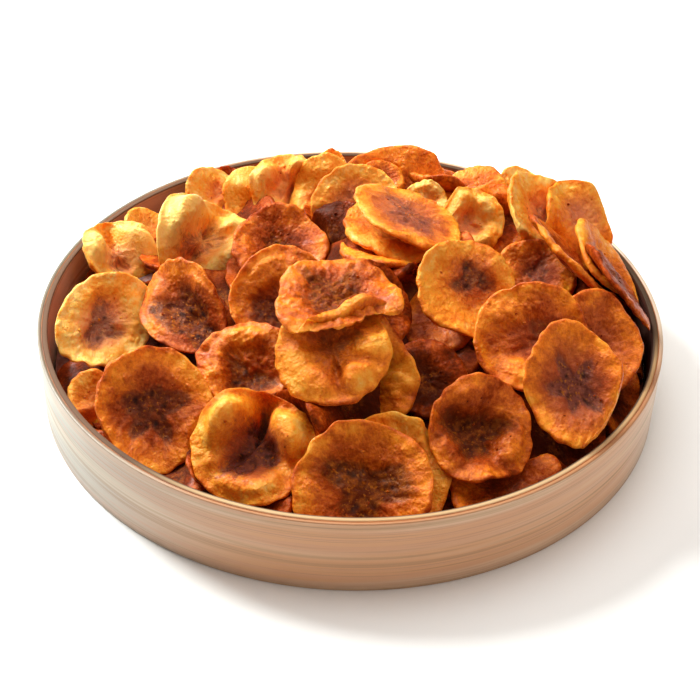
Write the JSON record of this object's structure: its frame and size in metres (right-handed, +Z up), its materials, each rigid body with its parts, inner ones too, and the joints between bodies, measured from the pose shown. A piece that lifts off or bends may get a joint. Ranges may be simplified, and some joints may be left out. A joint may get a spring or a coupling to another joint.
{
  "type": "bowl of banana chips",
  "caption": "Round shallow tray of bent bamboo, heaped above its rim with curled, fried slices of ripe banana.",
  "frame": {"origin": "middle of the tray's underside, on the surface that it stands on", "axes": "+Z up out of the tray, +X to the right and +Y away from the side that the picture shows"},
  "size_m": [0.24, 0.24, 0.0762],
  "materials": {
    "pale_bamboo": "satin, fine streaks along the hoop",
    "dark_bamboo": "satin, darkened, with a pale cut edge",
    "floor_bamboo": "satin",
    "fried_banana": "oily, half glossy, blistered"
  },
  "bodies": {
    "root": {"outer_hoop": "pale_bamboo", "inner_hoop": "dark_bamboo", "floor_panel": "floor_bamboo", "chips_heap": "fried_banana"}
  },
  "joints": []
}
